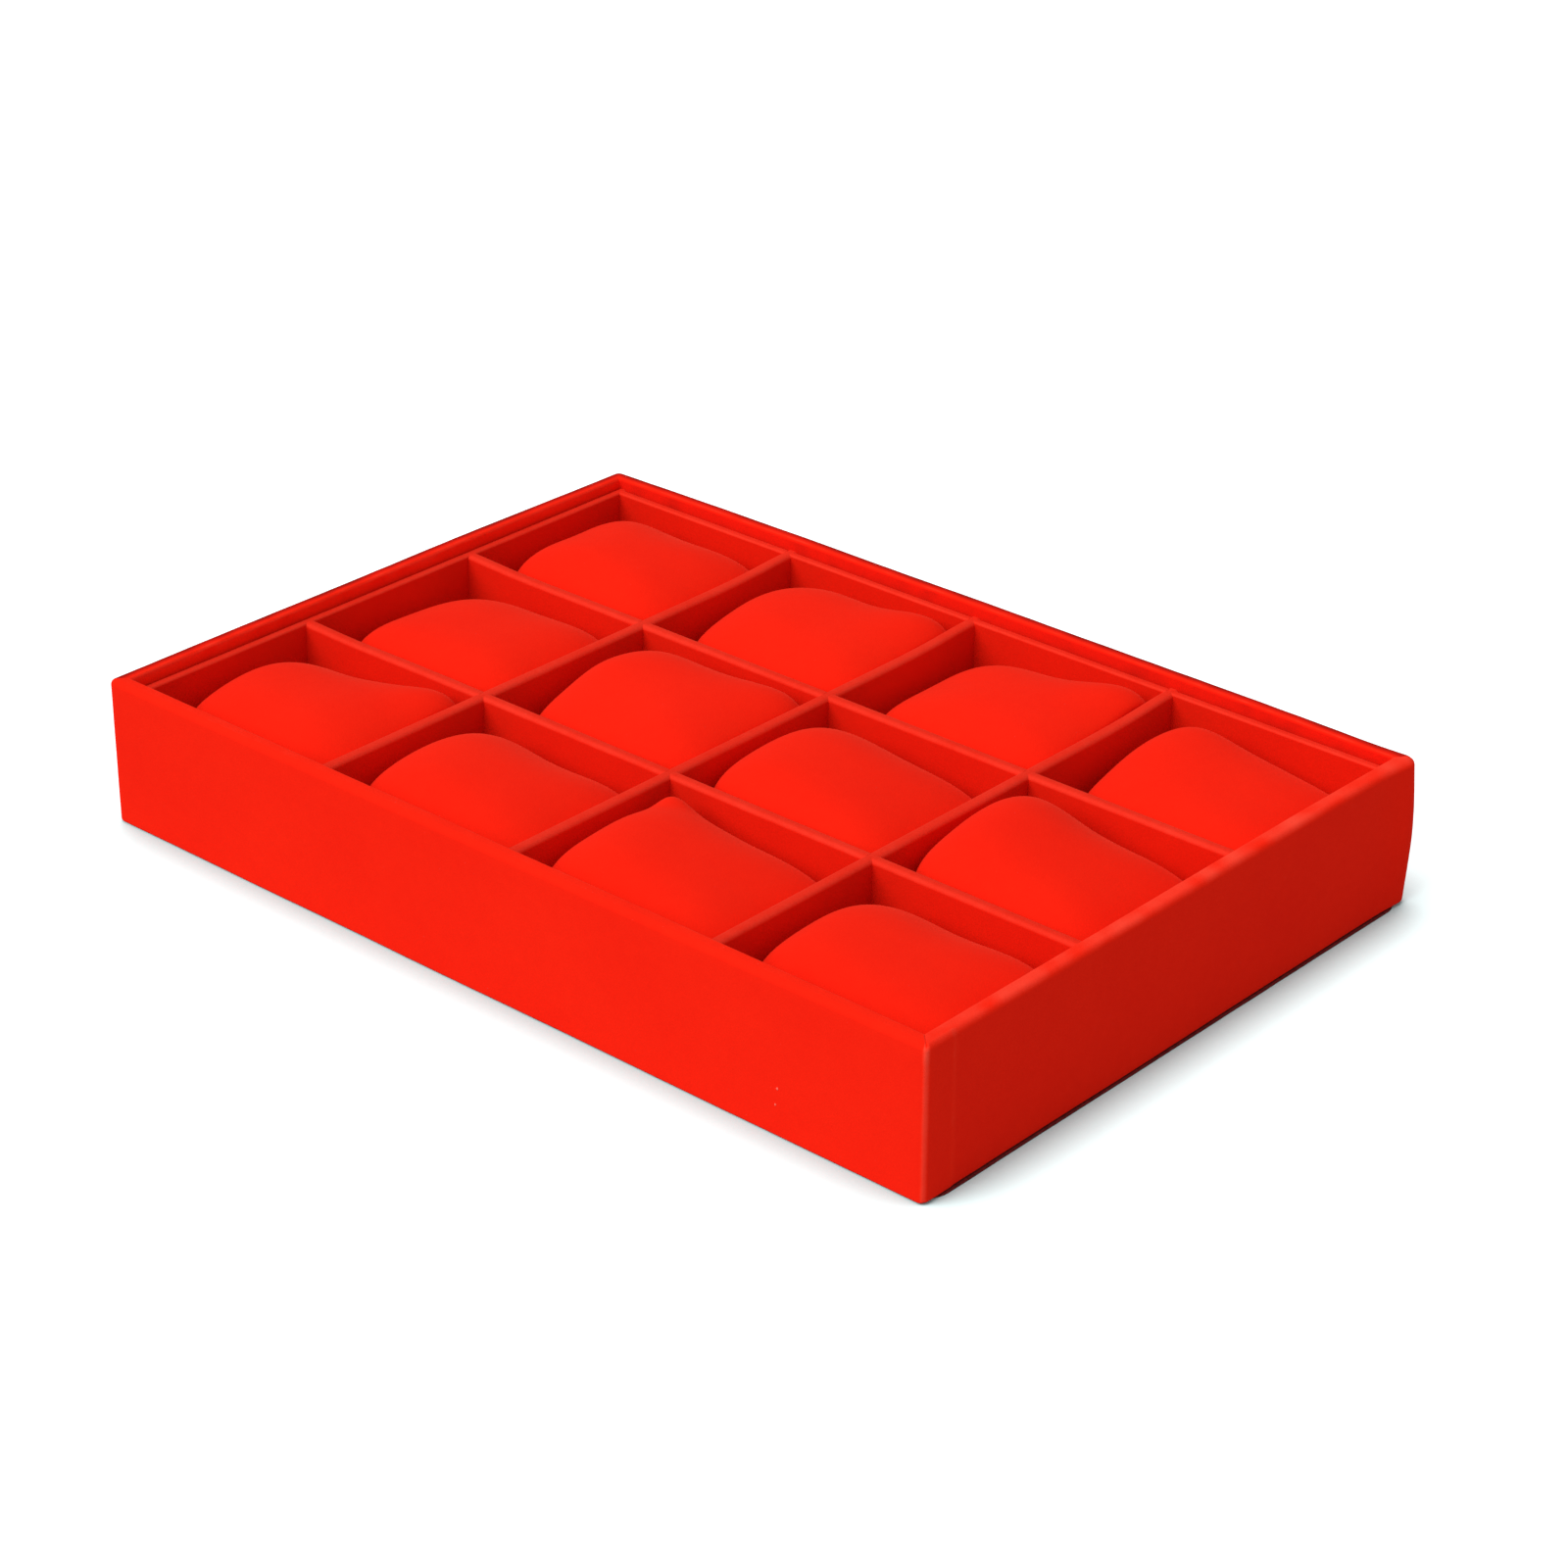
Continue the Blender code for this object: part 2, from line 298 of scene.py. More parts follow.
KNOT_NAP = 0.25
LAP_NAP = 0.04
LAP_EDGE_NAP = 0.16
MITRE_NAP = -0.35
BESIDE_MITRE_NAP = 0.5

# Scales of the velvet's patches, mottling and pile, how much each changes its colour, and how
# rough the pile is
PATCH_SCALE = 24
MOTTLE_SCALE = 260
PILE_SCALE = 1900
PATCH_GAIN = 0.30
MOTTLE_GAIN = 0.22
PILE_GAIN = 0.28
PILE_BUMP = 0.00025
PILE_BUMP_STRENGTH = 0.35

# The darkest colour also serves as painted shade, and the palest one as painted sheen
VELVET_CRUSHED_AND_SHADE = (0.20, 0.006, 0.004, 1)
VELVET_DEEP = (0.87, 0.012, 0.004, 1)
VELVET_BRIGHT = (0.96, 0.018, 0.005, 1)
VELVET_WORN_AND_SHEEN = (0.98, 0.095, 0.055, 1)
VELVET_STOPS = (0.0, 0.42, 0.56, 1.0)


def velvet(name, mottle=0.7, sheen=0.25, shade_tone=1.0):
    """Flocked velvet: broad patches of turned pile, fine mottling, and a soft bloom at its edges.

    The attribute nap is 0 on the plain cloth, 1 where a fold opens the pile and shows its pale
    ground, and -1 where the pile is crushed and dark. It also carries painted sheen, towards the
    pale colour, and painted shade, towards the dark one. The shade tone darkens the other colours
    as painted shade, and the pale colour keeps its colour at any tone, so that painted highlights
    stay bright.
    """
    material, tree, shader = new_finish(
        name, Roughness=0.95, Specular_IOR_Level=0.02, Sheen_Weight=sheen,
        Sheen_Roughness=0.35, Sheen_Tint=(1.0, 0.14, 0.08, 1))
    place = add_node(tree, "ShaderNodeTexCoord").outputs["Object"]
    patches = noise_of(tree, place, PATCH_SCALE, detail=2)
    mottling = noise_of(tree, place, MOTTLE_SCALE, detail=3, roughness=0.6)
    pile = noise_of(tree, place, PILE_SCALE, detail=3, roughness=0.6)
    nap = add_node(tree, "ShaderNodeAttribute", attribute_name="nap").outputs["Fac"]

    def centred(value, gain):
        shifted = add_node(tree, "ShaderNodeMath", {0: value, 1: 0.5}, operation="SUBTRACT")
        return add_node(tree, "ShaderNodeMath", {0: shifted.outputs[0], 1: gain},
                        operation="MULTIPLY").outputs[0]

    lie = nap
    for part in (centred(patches, PATCH_GAIN * mottle), centred(mottling, MOTTLE_GAIN * mottle),
                 centred(pile, PILE_GAIN * mottle)):
        lie = add_node(tree, "ShaderNodeMath", {0: lie, 1: part}, operation="ADD").outputs[0]
    level = add_node(tree, "ShaderNodeMapRange",
                     {"Value": lie, "From Min": -1.0, "From Max": 1.0}).outputs["Result"]
    colours = [(*(shade_tone * part for part in colour[:3]), 1) for colour in
               (VELVET_CRUSHED_AND_SHADE, VELVET_DEEP, VELVET_BRIGHT)] + [VELVET_WORN_AND_SHEEN]
    tree.links.new(ramp(tree, level, list(zip(VELVET_STOPS, colours))),
                   shader.inputs["Base Color"])
    height = add_node(tree, "ShaderNodeMath", {0: mottling, 1: pile}, operation="ADD")
    bump = add_node(tree, "ShaderNodeBump",
                    {"Height": height.outputs[0], "Distance": PILE_BUMP,
                     "Strength": PILE_BUMP_STRENGTH})
    tree.links.new(bump.outputs["Normal"], shader.inputs["Normal"])
    return material


def smooth_step(value, start, end):
    """Rises smoothly from 0 at start to 1 at end."""
    share = min(max((value - start) / (end - start), 0.0), 1.0)
    return share * share * (3 - 2 * share)


def arc(centre, radius, start, end):
    """Section points and outward directions on a round stretch, between angles in degrees."""
    made = []
    for step in range(RIM_STEPS + 1):
        angle = math.radians(start + (end - start) * step / RIM_STEPS)
        way = Vector((math.cos(angle), math.sin(angle)))
        made.append((Vector(centre) + radius * way, way))
    return made


def climb(start, end, way, step=WALL_STEP):
    """Section points on a straight stretch, without its two ends."""
    count = max(int((end - start).length / step), 1)
    return [(start.lerp(end, i / count), way) for i in range(1, count)]


lining_low, lining_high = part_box("floor_lining")
wall = cover_high.x - lining_high.x - CLEARANCE
underside = cover_low.z
rim_top = cover_high.z

# Section of the face of the cloth, as distance in from the outside and height
face = [(Vector((inset, underside)), Vector((0, -1)))
        for inset in (TURN_IN, 2.1 * FOOT_RADIUS, 1.8 * FOOT_RADIUS, 1.4 * FOOT_RADIUS)]
face += arc((FOOT_RADIUS, underside + FOOT_RADIUS), FOOT_RADIUS, 270, 180)
rim_outside = arc((RIM_RADIUS, rim_top - RIM_RADIUS), RIM_RADIUS, 180, 90)
rim_inside = arc((wall - RIM_INNER_RADIUS, rim_top - RIM_INNER_RADIUS), RIM_INNER_RADIUS, 90, 0)
face += climb(face[-1][0], rim_outside[0][0], Vector((-1, 0))) + rim_outside
face += climb(face[-1][0], rim_inside[0][0], Vector((0, 1)), RIM_TOP_STEP) + rim_inside
hem = Vector((wall, lining_low.z))
face += climb(face[-1][0], hem, Vector((1, 0))) + [(hem, Vector((1, 0)))]


def side_places(length):
    """Places along a straight side, as shares of it, close together near its ends."""
    close = [i * NEAR_CORNER_STEP for i in range(1, int(NEAR_CORNER / NEAR_CORNER_STEP) + 1)]
    between = length - 2 * NEAR_CORNER
    count = round(between / SIDE_STEP)
    middle = [NEAR_CORNER + between * i / count for i in range(1, count)]
    places = close + middle + [length - place for place in reversed(close)]
    return [place / length for place in places]


def plan(inset):
    """Plan of the cover at a distance in from the outside: points with their outward ways."""
    edge = Vector((inset, inset, 0))
    radii = [max(radius - inset, INNER_CORNER_RADIUS) for radius in CORNER_RADII]
    size = cover_high - cover_low
    places = (side_places(size.y), side_places(size.x))
    return plan_round(cover_low + edge, cover_high - edge, radii, places)


def slack(point, way, section_way, inset):
    """How far the cloth strays from its plain section: its foot, back corners and bulge."""
    hang = 1 - (1 - HANG_RIGHT) * smooth_step(way.x, 0.2, 0.95)
    hang *= 1 - smooth_step(point.z - underside, 0, HANG_REACH)
    hang *= 1 - smooth_step(inset, FOOT_RADIUS, 1.9 * FOOT_RADIUS)
    sag = 0
    for x in (cover_low.x, cover_high.x):
        far = math.hypot(point.x - x, point.y - cover_high.y)
        sag += math.exp(-(far / SAG_REACH) ** 2)
    sag *= smooth_step(point.z, rim_top - SAG_DEPTH, rim_top)
    far = math.hypot(point.x - cover_high.x, point.y - cover_high.y) / BULGE_REACH_ALONG
    reach = BULGE_REACH_UP if point.z > BULGE_HEIGHT else BULGE_REACH_DOWN
    bulge = math.exp(-far ** 2 - ((point.z - BULGE_HEIGHT) / reach) ** 2)
    bulge *= max(-section_way.x, 0)
    down = Vector((0, 0, -FOOT_HANG * hang - RIM_SAG * sag))
    return down + BULGE * bulge * way.to_3d()


def far_rim_painted_light(inset, height, way, section_way):
    """Painted light on the left and back rims: painted shade towards the outer edge, a painted
    highlight at the top of the inside and painted shade further down it, and an extra darkening
    of the back wall's inside, most near the rim.
    """
    on_rim = max(section_way.y, 0.0)
    inside = smooth_step(section_way.x, 0.5, 1.0)
    below = smooth_step(rim_top - height, 0, RIM_SHADE_REACH)
    edge = 1 - smooth_step(inset, RIM_RADIUS, 0.9 * wall)
    nap = FAR_RIM_SHEEN * on_rim + FAR_EDGE_SHADE * edge * smooth_step(on_rim, 0.1, 0.5)
    on_back = max(way.y, 0) * (BACK_INSIDE_DARK - BACK_EASING * below)
    inside_light_and_shade = FAR_INSIDE_HIGHLIGHT - FAR_INSIDE_SHADE * below - on_back
    return nap + inside * inside_light_and_shade


def bloom(point, way, section_way, inset):
    """Height of the cloth's waves and folds at a point, and its nap value: how its pile lies
    there, with painted sheen and painted shade added.
    """
    lift = WAVE * noise.noise(point * WAVE_SCALE) + RIPPLE * noise.noise(point * RIPPLE_SCALE)
    on_rim = max(section_way.y, 0.0)
    outwards = -section_way.x
    streak = noise.noise(point * STREAK_SCALE)
    # Painted sheen on the rims, and painted shade where the foot turns under the tray
    nap = RIM_SHEEN * on_rim + FOOT_SHADE * smooth_step(-section_way.y, 0.1, 0.7)
    if way.x > 0.5:
        nap += (RIGHT_RIM_SHEEN + RIGHT_STREAKS * streak) * on_rim
    elif way.y < -0.5:
        on_inside = smooth_step(-outwards, -0.3, 0.6)
        nap += (FRONT_RIM_SHEEN + FRONT_STREAKS * streak) * on_rim * on_inside
    else:
        nap += far_rim_painted_light(inset, point.z, way, section_way) + FAR_STREAKS * streak * on_rim
        nap -= FAR_SIDE_STREAKS * max(streak, 0) * smooth_step(-outwards, 0.5, 1.0)
    if point.x > 0 and point.y < 0 and outwards > 0.3:
        from_edge = math.hypot(cover_high.x - point.x, point.y + cover_high.y)
        fold = 1 - smooth_step(from_edge, FOLD_WIDTH * 0.5, FOLD_WIDTH * 1.6)
        knot = fold * smooth_step(point.z, rim_top - KNOT_REACH, rim_top - KNOT_REACH / 2)
        lift += FOLD_HEIGHT * fold + KNOT_HEIGHT * knot
        nap += FOLD_NAP * fold + KNOT_NAP * knot
        if way.x > 0.9:
            beside = point.y + cover_high.y
            lap = 1 - smooth_step(beside, LAP_WIDTH, LAP_WIDTH + LAP_EDGE)
            lift += LAP_HEIGHT * lap
            edge = 1 - min(abs(beside - LAP_WIDTH) / (2 * LAP_EDGE), 1)
            nap += LAP_EDGE_NAP * edge + LAP_NAP * lap
    return lift, nap


def sweep_cover():
    """Sweeps the cloth's face and its glued side round the tray, as one closed skin."""
    bm = bmesh.new()
    nap_layer = bm.verts.layers.float.new("nap")
    section = [(spot, way, True) for spot, way in face]
    section += [(spot - VELVET * way, way, False) for spot, way in reversed(face)]
    loops = []
    for spot, section_way, shows in section:
        loop = []
        for i, (place, way) in enumerate(plan(spot.x)):
            point = Vector((place.x, place.y, spot.y))
            lift, nap = bloom(point, way, section_way, spot.x) if shows else (0.0, 0.0)
            stray = slack(point, way, section_way, spot.x) if shows else Vector()
            if shows and section_way.y > 0.05:
                corner_step = i - CORNER_STEPS // 2
                if corner_step == 0:
                    lift -= MITRE_DEPTH * section_way.y
                    nap += MITRE_NAP * section_way.y
                elif corner_step == -1:
                    nap += BESIDE_MITRE_NAP * section_way.y
            out = Vector((way.x * -section_way.x, way.y * -section_way.x, section_way.y))
            vert = bm.verts.new(point + stray + out * lift)
            vert[nap_layer] = nap
            loop.append(vert)
        loops.append(loop)
    for first, second in zip(loops, loops[1:] + loops[:1]):
        for i, vert in enumerate(first):
            j = (i + 1) % len(first)
            bm.faces.new((vert, first[j], second[j], second[i]))
    bmesh.ops.recalc_face_normals(bm, faces=bm.faces)
    return bm


cover_velvet = velvet("cover_velvet")
cover = add_piece("wall_cover", sweep_cover(), cover_velvet)
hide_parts("velvet_cover")
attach(cover, "root")


# Floor lining
# Thin card with the same velvet glued on it, laid on the floor under the grid. It shows only in
# the narrow gaps beside the pillows. Like the grid's, its velvet is darkened as painted shade.
# The grid's velvet is the cover's, darkened as painted shade for the cells
GRID_SHADE_TONE = 0.79

grid_velvet = velvet("grid_velvet", shade_tone=GRID_SHADE_TONE)
dress_solid("floor_lining", grid_velvet)


# Grid of liners and dividers
# Card strips covered in velvet, with half-height slots that lock into each other like an egg
# crate. Those across the tray run unbroken on top, and those along it are cut there.
SLOT_GAP = 0.0003
CUTTER_WIDTH = 0.02
STRIP_STEP = 0.0025
DIVIDER_ROUNDING = 0.0016
LINER_ROUNDING = 0.0009
SHARP_ANGLE = 0.7
ROUND_STEPS = 6
# Painted highlight along the rounded tops of the strips, and how much less it is in their middle
CREST_SHEEN = 1.0
CREST_FALL = 0.75

# How far the pile of one strip closes over the slots of the next, and over the gap to the wall
SLOT_BITE = 0.0011
END_REACH = 0.0005


def strip_tree():
    """Geometry nodes for one slotted strip, with its sizes as inputs."""
    tree = bpy.data.node_groups.new("slotted_strip", "GeometryNodeTree")
    tree.interface.new_socket("Geometry", in_out="OUTPUT", socket_type="NodeSocketGeometry")
    for name in ("Length", "Height", "Thickness", "Rounding", "Slot Width", "Slot Pitch",
                 "End Notch", "Slot Middle", "Slot Height", "Turn"):
        tree.interface.new_socket(name, in_out="INPUT", socket_type="NodeSocketFloat")
    tree.interface.new_socket("Slots", in_out="INPUT", socket_type="NodeSocketInt")
    tree.interface.new_socket("Place", in_out="INPUT", socket_type="NodeSocketVector")
    tree.interface.new_socket("Velvet", in_out="INPUT", socket_type="NodeSocketMaterial")
    given = add_node(tree, "NodeGroupInput").outputs

    def vector(x=0.0, y=0.0, z=0.0):
        return add_node(tree, "ShaderNodeCombineXYZ", {"X": x, "Y": y, "Z": z}).outputs[0]

    def times(a, b):
        return add_node(tree, "ShaderNodeMath", {0: a, 1: b}, operation="MULTIPLY").outputs[0]

    half = times(given["Length"], 0.5)
    line = add_node(tree, "GeometryNodeCurvePrimitiveLine",
                    {"Start": vector(times(half, -1.0)), "End": vector(half)})
    line = add_node(tree, "GeometryNodeResampleCurve",
                    {"Curve": line.outputs[0], "Length": STRIP_STEP}, mode="LENGTH")
    line = add_node(tree, "GeometryNodeSetCurveNormal", {"Curve": line.outputs[0]}, mode="Z_UP")
    section = add_node(tree, "GeometryNodeCurvePrimitiveQuadrilateral",
                       {"Width": given["Thickness"], "Height": given["Height"]})
    section = add_node(tree, "GeometryNodeFilletCurve",
                       {"Curve": section.outputs[0], "Count": ROUND_STEPS,
                        "Radius": given["Rounding"]}, mode="POLY")
    body = add_node(tree, "GeometryNodeCurveToMesh",
                    {"Curve": line.outputs[0], "Profile Curve": section.outputs[0],
                     "Fill Caps": True})

    # Cutters for the slots between the ends, and one wider cutter over each end
    cut_size = {"X": given["Slot Width"], "Y": CUTTER_WIDTH, "Z": given["Slot Height"]}
    cutter = add_node(tree, "GeometryNodeMeshCube",
                      {"Size": add_node(tree, "ShaderNodeCombineXYZ", cut_size).outputs[0]})
    fewer = add_node(tree, "ShaderNodeMath", {0: given["Slots"], 1: 1.0}, operation="SUBTRACT")
    first = times(times(fewer.outputs[0], given["Slot Pitch"]), -0.5)
    inner = add_node(tree, "GeometryNodeMeshLine",
                     {"Count": given["Slots"], "Offset": vector(given["Slot Pitch"]),
                      "Start Location": vector(first, 0.0, given["Slot Middle"])})
    inner = add_node(tree, "GeometryNodeInstanceOnPoints",
                     {"Points": inner.outputs[0], "Instance": cutter.outputs[0]})
    cut_size["X"] = times(given["End Notch"], 2.0)
    cutter = add_node(tree, "GeometryNodeMeshCube",
                      {"Size": add_node(tree, "ShaderNodeCombineXYZ", cut_size).outputs[0]})
    ends = add_node(tree, "GeometryNodeMeshLine",
                    {"Count": 2, "Offset": vector(given["Length"]),
                     "Start Location": vector(times(half, -1.0), 0.0, given["Slot Middle"])})
    ends = add_node(tree, "GeometryNodeInstanceOnPoints",
                    {"Points": ends.outputs[0], "Instance": cutter.outputs[0]})
    cut = add_node(tree, "GeometryNodeMeshBoolean",
                   {"Mesh 1": body.outputs[0]}, operation="DIFFERENCE", solver="EXACT")
    for cutters in (inner, ends):
        real = add_node(tree, "GeometryNodeRealizeInstances", {"Geometry": cutters.outputs[0]})
        tree.links.new(real.outputs[0], cut.inputs["Mesh 2"])

    # The nap value rises along the rounded top, most on its two edges, as a painted highlight
    # that stands for the velvet's sheen there
    height = add_node(tree, "ShaderNodeSeparateXYZ",
                      {"Vector": add_node(tree, "GeometryNodeInputPosition").outputs[0]})
    top = times(given["Height"], 0.5)
    shoulder = add_node(tree, "ShaderNodeMath", {0: top, 1: given["Rounding"]},
                        operation="SUBTRACT")
    risen = add_node(tree, "ShaderNodeMapRange",
                     {"Value": height.outputs["Z"], "From Min": shoulder.outputs[0],
                      "From Max": top}).outputs["Result"]
    lighter = add_node(tree, "ShaderNodeMath", {0: CREST_SHEEN, 1: times(risen, CREST_FALL)},
                       operation="SUBTRACT")
    napped = add_node(tree, "GeometryNodeStoreNamedAttribute",
                      {"Geometry": cut.outputs[0], "Name": "nap",
                       "Value": times(risen, lighter.outputs[0])},
                      data_type="FLOAT", domain="POINT")
    smooth = add_node(tree, "GeometryNodeSetShadeSmooth", {"Geometry": napped.outputs[0]})
    angle = add_node(tree, "GeometryNodeInputMeshEdgeAngle")
    sharp = add_node(tree, "ShaderNodeMath",
                     {0: angle.outputs["Unsigned Angle"], 1: SHARP_ANGLE},
                     operation="GREATER_THAN")
    smooth = add_node(tree, "GeometryNodeSetShadeSmooth",
                      {"Geometry": smooth.outputs[0], "Selection": sharp.outputs[0],
                       "Shade Smooth": False}, domain="EDGE")
    turned = add_node(tree, "GeometryNodeTransform",
                      {"Geometry": smooth.outputs[0], "Translation": given["Place"],
                       "Rotation": vector(0.0, 0.0, given["Turn"])})
    made = add_node(tree, "GeometryNodeRealizeInstances", {"Geometry": turned.outputs[0]})
    made = add_node(tree, "GeometryNodeSetMaterial",
                    {"Geometry": made.outputs[0], "Material": given["Velvet"]})
    add_node(tree, "NodeGroupOutput", {"Geometry": made.outputs[0]})
    return tree


def grow(name, tree, values):
    """Runs a tree with its inputs on a new piece, and keeps the result as a plain mesh."""
    piece = bpy.data.objects.new(name, bpy.data.meshes.new(name))
    scene.collection.objects.link(piece)
    modifier = piece.modifiers.new(name, "NODES")
    modifier.node_group = tree
    for socket in tree.interface.items_tree:
        if socket.in_out == "INPUT":
            modifier[socket.identifier] = values[socket.name]
    graph = bpy.context.evaluated_depsgraph_get()
    mesh = bpy.data.meshes.new_from_object(piece.evaluated_get(graph),
                                           preserve_all_data_layers=True, depsgraph=graph)
    piece.modifiers.clear()
    piece.data = mesh
    mesh.name = name
    return piece


def points_of(mesh):
    """The vertices of a mesh as rows."""
    points = np.empty(len(mesh.vertices) * 3)
    mesh.vertices.foreach_get("co", points)
    return points.reshape(-1, 3)


# Small bends of the grid, which was pressed in by hand: where, how far and how wide
Bend = namedtuple("Bend", "place shift reach")
BENDS = [
    Bend((-0.167, -0.038), (0.0, -0.0022), 0.030),
    Bend((-0.167, 0.038), (0.0, -0.0012), 0.030),
]


def settle(mesh):
    """Moves a mesh with the small bends of the grid."""
    points = points_of(mesh)
    shift = np.zeros_like(points)
    for bend in BENDS:
        distance = np.hypot(points[:, 0] - bend.place[0], points[:, 1] - bend.place[1])
        share = np.exp(-(distance / bend.reach) ** 2)
        shift[:, :2] += share[:, None] * np.array(bend.shift)
    mesh.vertices.foreach_set("co", (points + shift).ravel())


# The grid rides up a little where its strips meet the left wall and the back wall
GRID_LIFT = 0.0016
LIFT_REACH = 0.0220


def ride_up(mesh):
    """Lifts the tops of a strip's parts near the left and back walls."""
    points = points_of(mesh)
    from_left = points[:, 0] - boxes["liner_left"][0].x
    from_back = boxes["liner_back"][1].y - points[:, 1]
    near_wall = np.exp(-(np.minimum(from_left, from_back).clip(0) / LIFT_REACH) ** 2)
    foot, top = boxes["liner_left"][0].z, boxes["liner_left"][1].z
    points[:, 2] += GRID_LIFT * near_wall * ((points[:, 2] - foot) / (top - foot)).clip(0, 1)
    mesh.vertices.foreach_set("co", points.ravel())


slotted_strip = strip_tree()
across = ["liner_left", "cross_divider_1", "cross_divider_2", "cross_divider_3", "liner_right"]
along = ["liner_front", "long_divider_1", "long_divider_2", "liner_back"]
boxes = {name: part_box(name) for name in across + along}
for names, others, axis in ((across, along, 1), (along, across, 0)):
    side = 1 - axis
    middles = [(boxes[other][0][axis] + boxes[other][1][axis]) / 2 for other in others]
    slot_width = boxes[others[1]][1][axis] - boxes[others[1]][0][axis] - 2 * SLOT_BITE
    end_notch = boxes[others[0]][1][axis] - boxes[others[0]][0][axis] - SLOT_BITE + END_REACH
    for name in names:
        low, high = boxes[name]
        height = high.z - low.z
        is_liner = name.startswith("liner")
        piece = grow(f"{name}_velvet", slotted_strip, {
            "Length": high[axis] - low[axis] + 2 * END_REACH,
            "Height": height,
            "Thickness": high[side] - low[side],
            "Rounding": LINER_ROUNDING if is_liner else DIVIDER_ROUNDING,
            "Slot Width": slot_width,
            "Slot Pitch": middles[2] - middles[1],
            "End Notch": end_notch,
            "Slot Middle": -height / 2 if axis == 1 else height / 2,
            "Slot Height": height + SLOT_GAP / 2,
            "Turn": math.pi / 2 if axis == 1 else 0.0,
            "Slots": len(others) - 2,
            "Place": (low + high) / 2,
            "Velvet": grid_velvet,
        })
        settle(piece.data)
        ride_up(piece.data)
        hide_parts(name)
        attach(piece, "root")


# Pillows
# Each is a sewn velvet case stuffed with soft fibre and pressed into its cell by hand. It leans
# on the strips behind and to the right of it, one corner sticks up, and no two lie alike.
PILLOW_CUTS = 25
PILLOW_ROUNDING = 2.6
PILLOW_PLAN_ROUNDING = 4.0
PILLOW_FULLER = Vector((0.0012, 0.0006, 0.0018))
PILLOW_PRESSED = 0.0050
PILLOW_WAIST = 0.0006
PILLOW_DENT = 0.0005
PILLOW_DENT_SCALE = 45
PILLOW_PRESSURE = 4.0
PILLOW_FRAMES = 20
PILLOW_MOST = 0.0016
PILLOW_CLEARANCE = 0.0004

# How a pillow lies, in millimetres: its shift in its cell, the lift of its top at its front
# left, front right, back right and back left corners, and single pulls at places on its top,
# from -1 to 1 across and along it, with their way and their reach
MILLIMETRE = 0.001
Lie = namedtuple("Lie", "shift corners pulls")
Pull = namedtuple("Pull", "place way reach")
BACK_LEFT = (-0.85, 0.85)
BACK_RIGHT = (0.80, 0.85)
BACK_MIDDLE = (-0.10, 0.95)
LEFT = (-0.95, 0.10)
LIES = {
    "front_1": Lie((0, 0), (0, 0, 1, -6), [Pull(LEFT, (-1, 0, 4), 0.5),
                                           Pull((-0.30, 0.90), (0, 0, -3), 0.4),
                                           Pull(BACK_RIGHT, (2, 4, 5), 0.4)]),
    "front_2": Lie((0, 0), (0, -3, -7, 0), [Pull(LEFT, (-1, 0, 2), 0.5),
                                            Pull(BACK_MIDDLE, (0, -1, -3), 0.6)]),
    "front_3": Lie((-2, 0), (2, -4, -11, 2), [Pull(LEFT, (0, 0, 2), 0.5),
                                              Pull(BACK_LEFT, (-1, 1, 9), 0.21),
                                              Pull(BACK_MIDDLE, (0, -1, -1), 0.6)]),
    "front_4": Lie((0, 0), (0, -3, -6, -3), [Pull(LEFT, (0, 0, 3), 0.5),
                                             Pull(BACK_MIDDLE, (0, -1, -2), 0.6)]),
    "middle_1": Lie((0, 0), (-1, -1, -4, -6), [Pull(BACK_LEFT, (1, -2, 0), 0.5)]),
    "middle_2": Lie((1, 0), (-5, 1, -1, 4), [Pull(LEFT, (-1, 0, 4), 0.5),
                                             Pull(BACK_RIGHT, (1, 4, 3), 0.5)]),
    "middle_3": Lie((-3, 0), (4, -4, -12, 1), [Pull(LEFT, (0, 0, 2), 0.5),
                                               Pull(BACK_MIDDLE, (0, -1, 0), 0.6)]),
    "middle_4": Lie((-3, 0), (4, -5, -13, 8), [Pull(LEFT, (0, 0, 3), 0.5),
                                               Pull(BACK_LEFT, (1, 0, 1), 0.4),
                                               Pull(BACK_MIDDLE, (0, -1, -2), 0.6)]),
    "back_1": Lie((0, 0), (2, 0, -2, 2), [Pull(BACK_MIDDLE, (0, 0, -2), 0.5)]),
    "back_2": Lie((1, 0), (-4, 0, -1, 1), [Pull(LEFT, (-1, 0, 2), 0.5),
                                           Pull(BACK_RIGHT, (1, 4, 5), 0.5)]),
    "back_3": Lie((1, 0), (-6, 0, 2, -5), [Pull(BACK_RIGHT, (2, 4, 6), 0.5)]),
    "back_4": Lie((2, 0), (-8, -2, -12, 3), [Pull(LEFT, (-1, 0, 3), 0.5),
                                             Pull(BACK_LEFT, (1, 0, 3), 0.4)]),
}


def baked(piece):
    """The piece's mesh with its modifiers applied."""
    graph = bpy.context.evaluated_depsgraph_get()
    mesh = bpy.data.meshes.new_from_object(piece.evaluated_get(graph), depsgraph=graph)
    piece.modifiers.clear()
    piece.data = mesh
    return mesh


